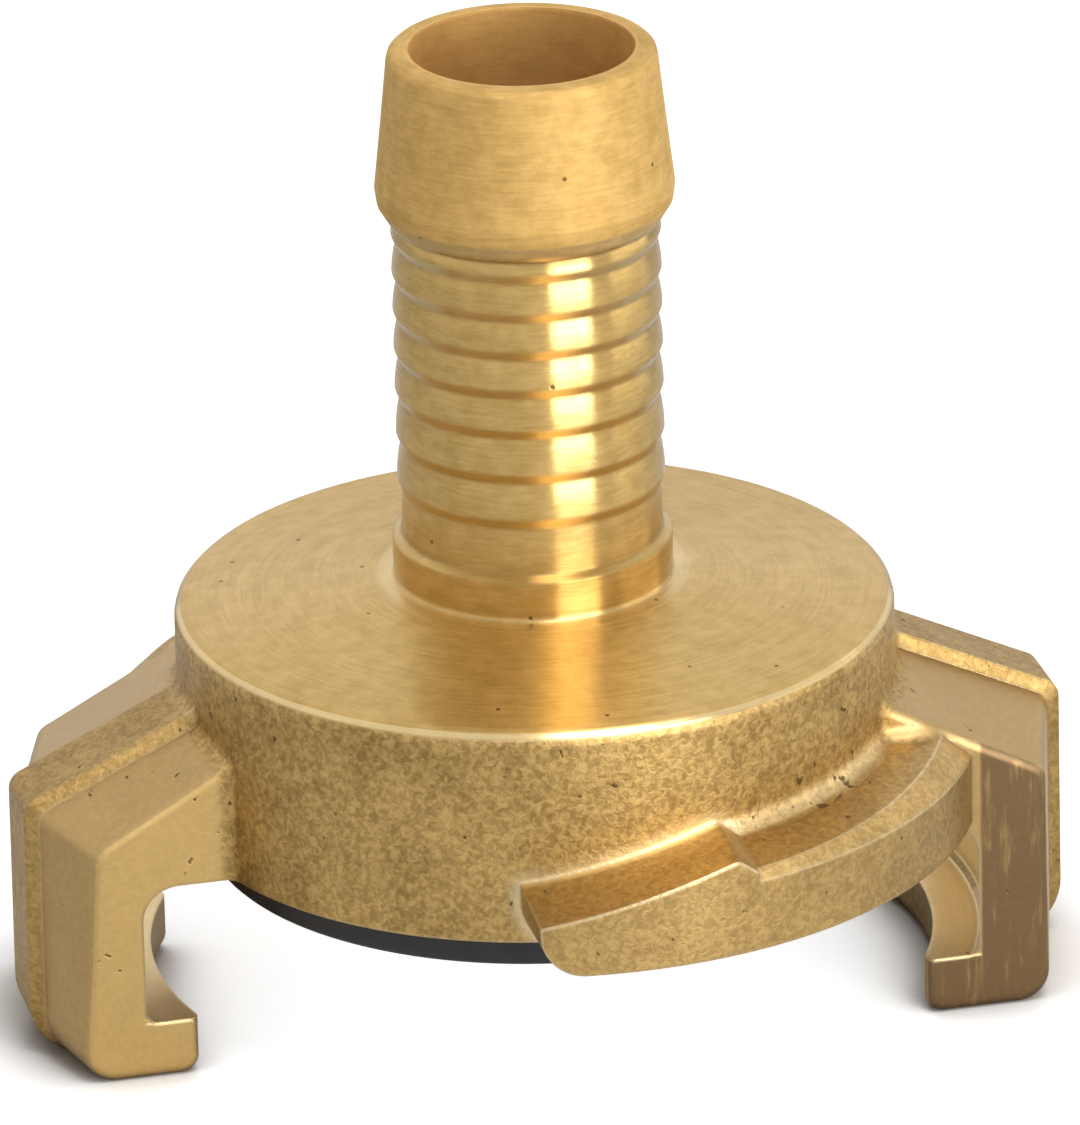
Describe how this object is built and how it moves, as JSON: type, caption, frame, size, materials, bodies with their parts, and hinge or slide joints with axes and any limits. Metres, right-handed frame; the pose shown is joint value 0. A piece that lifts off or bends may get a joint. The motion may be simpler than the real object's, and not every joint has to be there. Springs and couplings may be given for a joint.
{
  "type": "claw hose coupling",
  "caption": "Brass claw half of a quarter-turn hose coupling with a serrated hose tail and a rubber sealing ring in its mating face.",
  "frame": {"origin": "under the waterway's centre, on the plane of the two claws' soles", "axes": "+Z along the waterway towards the hose tail, X through the two claws, the ramps start on -Y and +Y"},
  "size_m": [0.0542, 0.0448, 0.0509],
  "materials": {
    "brass": "hot-forged skin on the sides, claws and ramps, turned on the top face, the tail and in the bore",
    "rubber": "matt moulded nitrile rubber"
  },
  "bodies": {
    "root": {"coupling_body": "brass", "seal_ring": "rubber"}
  },
  "joints": []
}
